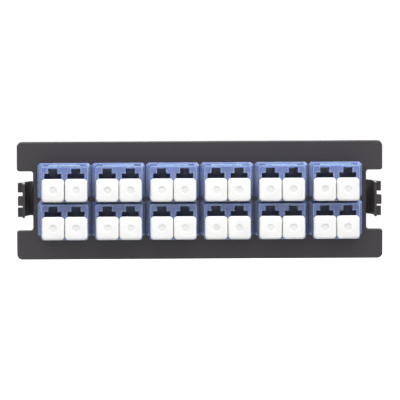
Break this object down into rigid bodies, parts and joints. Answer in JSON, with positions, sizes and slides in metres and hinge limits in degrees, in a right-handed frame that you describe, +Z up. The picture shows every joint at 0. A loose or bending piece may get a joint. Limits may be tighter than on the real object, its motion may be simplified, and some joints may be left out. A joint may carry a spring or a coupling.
{
  "type": "fibre adapter panel",
  "caption": "Flat black panel plate with end latches, holding two rows of blue duplex fibre couplers whose ports are closed by white dust caps.",
  "frame": {"origin": "middle of the plate's back face, which seats on the frame", "axes": "+X along the panel to the right as seen from the front, +Y towards the back, +Z up"},
  "size_m": [0.0992, 0.0308, 0.032],
  "materials": {
    "black_plastic": "fine moulded texture, matt",
    "blue_plastic": "smooth, slightly translucent",
    "white_plastic": "satin, soft polyethylene",
    "spring_steel": "rolled strip",
    "zirconia": "polished"
  },
  "bodies": {
    "panel": {"panel_plate": "black_plastic", "coupler_top_1": "blue_plastic", "rear_caps_top_1": "white_plastic", "coupler_top_2": "blue_plastic", "rear_caps_top_2": "white_plastic", "coupler_top_3": "blue_plastic", "rear_caps_top_3": "white_plastic", "coupler_top_4": "blue_plastic", "rear_caps_top_4": "white_plastic", "coupler_top_5": "blue_plastic", "rear_caps_top_5": "white_plastic", "coupler_top_6": "blue_plastic", "rear_caps_top_6": "white_plastic", "coupler_bottom_1": "blue_plastic", "rear_caps_bottom_1": "white_plastic", "coupler_bottom_2": "blue_plastic", "rear_caps_bottom_2": "white_plastic", "coupler_bottom_3": "blue_plastic", "rear_caps_bottom_3": "white_plastic", "coupler_bottom_4": "blue_plastic", "rear_caps_bottom_4": "white_plastic", "coupler_bottom_5": "blue_plastic", "rear_caps_bottom_5": "white_plastic", "coupler_bottom_6": "blue_plastic", "rear_caps_bottom_6": "white_plastic", "retaining_clips_top": "spring_steel", "alignment_sleeves_top": "zirconia", "retaining_clips_bottom": "spring_steel", "alignment_sleeves_bottom": "zirconia"},
    "end_latch_arm_left": {"end_latch_arm_left": "black_plastic"},
    "end_latch_arm_right": {"end_latch_arm_right": "black_plastic"},
    "front_cap_top_1": {"front_cap_top_1": "white_plastic"},
    "front_cap_top_2": {"front_cap_top_2": "white_plastic"},
    "front_cap_top_3": {"front_cap_top_3": "white_plastic"},
    "front_cap_top_4": {"front_cap_top_4": "white_plastic"},
    "front_cap_top_5": {"front_cap_top_5": "white_plastic"},
    "front_cap_top_6": {"front_cap_top_6": "white_plastic"},
    "front_cap_top_7": {"front_cap_top_7": "white_plastic"},
    "front_cap_top_8": {"front_cap_top_8": "white_plastic"},
    "front_cap_top_9": {"front_cap_top_9": "white_plastic"},
    "front_cap_top_10": {"front_cap_top_10": "white_plastic"},
    "front_cap_top_11": {"front_cap_top_11": "white_plastic"},
    "front_cap_top_12": {"front_cap_top_12": "white_plastic"},
    "front_cap_bottom_1": {"front_cap_bottom_1": "white_plastic"},
    "front_cap_bottom_2": {"front_cap_bottom_2": "white_plastic"},
    "front_cap_bottom_3": {"front_cap_bottom_3": "white_plastic"},
    "front_cap_bottom_4": {"front_cap_bottom_4": "white_plastic"},
    "front_cap_bottom_5": {"front_cap_bottom_5": "white_plastic"},
    "front_cap_bottom_6": {"front_cap_bottom_6": "white_plastic"},
    "front_cap_bottom_7": {"front_cap_bottom_7": "white_plastic"},
    "front_cap_bottom_8": {"front_cap_bottom_8": "white_plastic"},
    "front_cap_bottom_9": {"front_cap_bottom_9": "white_plastic"},
    "front_cap_bottom_10": {"front_cap_bottom_10": "white_plastic"},
    "front_cap_bottom_11": {"front_cap_bottom_11": "white_plastic"},
    "front_cap_bottom_12": {"front_cap_bottom_12": "white_plastic"}
  },
  "joints": [
    {"name": "end_latch_left_pinch", "type": "hinge", "parent": "panel", "child": "end_latch_arm_left", "pos_m": [-0.04555, 0.0073, 0], "axis": [0, 0, 1], "range_deg": [0, 9.5], "stiffness_Nm_per_rad": 0.05},
    {"name": "end_latch_right_pinch", "type": "hinge", "parent": "panel", "child": "end_latch_arm_right", "pos_m": [0.04555, 0.0073, 0], "axis": [0, 0, -1], "range_deg": [0, 9.5], "stiffness_Nm_per_rad": 0.05},
    {"name": "front_cap_top_1_pull", "type": "slide", "parent": "panel", "child": "front_cap_top_1", "axis": [0, -1, 0], "range_m": [0, 0.008]},
    {"name": "front_cap_top_2_pull", "type": "slide", "parent": "panel", "child": "front_cap_top_2", "axis": [0, -1, 0], "range_m": [0, 0.008]},
    {"name": "front_cap_top_3_pull", "type": "slide", "parent": "panel", "child": "front_cap_top_3", "axis": [0, -1, 0], "range_m": [0, 0.008]},
    {"name": "front_cap_top_4_pull", "type": "slide", "parent": "panel", "child": "front_cap_top_4", "axis": [0, -1, 0], "range_m": [0, 0.008]},
    {"name": "front_cap_top_5_pull", "type": "slide", "parent": "panel", "child": "front_cap_top_5", "axis": [0, -1, 0], "range_m": [0, 0.008]},
    {"name": "front_cap_top_6_pull", "type": "slide", "parent": "panel", "child": "front_cap_top_6", "axis": [0, -1, 0], "range_m": [0, 0.008]},
    {"name": "front_cap_top_7_pull", "type": "slide", "parent": "panel", "child": "front_cap_top_7", "axis": [0, -1, 0], "range_m": [0, 0.008]},
    {"name": "front_cap_top_8_pull", "type": "slide", "parent": "panel", "child": "front_cap_top_8", "axis": [0, -1, 0], "range_m": [0, 0.008]},
    {"name": "front_cap_top_9_pull", "type": "slide", "parent": "panel", "child": "front_cap_top_9", "axis": [0, -1, 0], "range_m": [0, 0.008]},
    {"name": "front_cap_top_10_pull", "type": "slide", "parent": "panel", "child": "front_cap_top_10", "axis": [0, -1, 0], "range_m": [0, 0.008]},
    {"name": "front_cap_top_11_pull", "type": "slide", "parent": "panel", "child": "front_cap_top_11", "axis": [0, -1, 0], "range_m": [0, 0.008]},
    {"name": "front_cap_top_12_pull", "type": "slide", "parent": "panel", "child": "front_cap_top_12", "axis": [0, -1, 0], "range_m": [0, 0.008]},
    {"name": "front_cap_bottom_1_pull", "type": "slide", "parent": "panel", "child": "front_cap_bottom_1", "axis": [0, -1, 0], "range_m": [0, 0.008]},
    {"name": "front_cap_bottom_2_pull", "type": "slide", "parent": "panel", "child": "front_cap_bottom_2", "axis": [0, -1, 0], "range_m": [0, 0.008]},
    {"name": "front_cap_bottom_3_pull", "type": "slide", "parent": "panel", "child": "front_cap_bottom_3", "axis": [0, -1, 0], "range_m": [0, 0.008]},
    {"name": "front_cap_bottom_4_pull", "type": "slide", "parent": "panel", "child": "front_cap_bottom_4", "axis": [0, -1, 0], "range_m": [0, 0.008]},
    {"name": "front_cap_bottom_5_pull", "type": "slide", "parent": "panel", "child": "front_cap_bottom_5", "axis": [0, -1, 0], "range_m": [0, 0.008]},
    {"name": "front_cap_bottom_6_pull", "type": "slide", "parent": "panel", "child": "front_cap_bottom_6", "axis": [0, -1, 0], "range_m": [0, 0.008]},
    {"name": "front_cap_bottom_7_pull", "type": "slide", "parent": "panel", "child": "front_cap_bottom_7", "axis": [0, -1, 0], "range_m": [0, 0.008]},
    {"name": "front_cap_bottom_8_pull", "type": "slide", "parent": "panel", "child": "front_cap_bottom_8", "axis": [0, -1, 0], "range_m": [0, 0.008]},
    {"name": "front_cap_bottom_9_pull", "type": "slide", "parent": "panel", "child": "front_cap_bottom_9", "axis": [0, -1, 0], "range_m": [0, 0.008]},
    {"name": "front_cap_bottom_10_pull", "type": "slide", "parent": "panel", "child": "front_cap_bottom_10", "axis": [0, -1, 0], "range_m": [0, 0.008]},
    {"name": "front_cap_bottom_11_pull", "type": "slide", "parent": "panel", "child": "front_cap_bottom_11", "axis": [0, -1, 0], "range_m": [0, 0.008]},
    {"name": "front_cap_bottom_12_pull", "type": "slide", "parent": "panel", "child": "front_cap_bottom_12", "axis": [0, -1, 0], "range_m": [0, 0.008]}
  ]
}
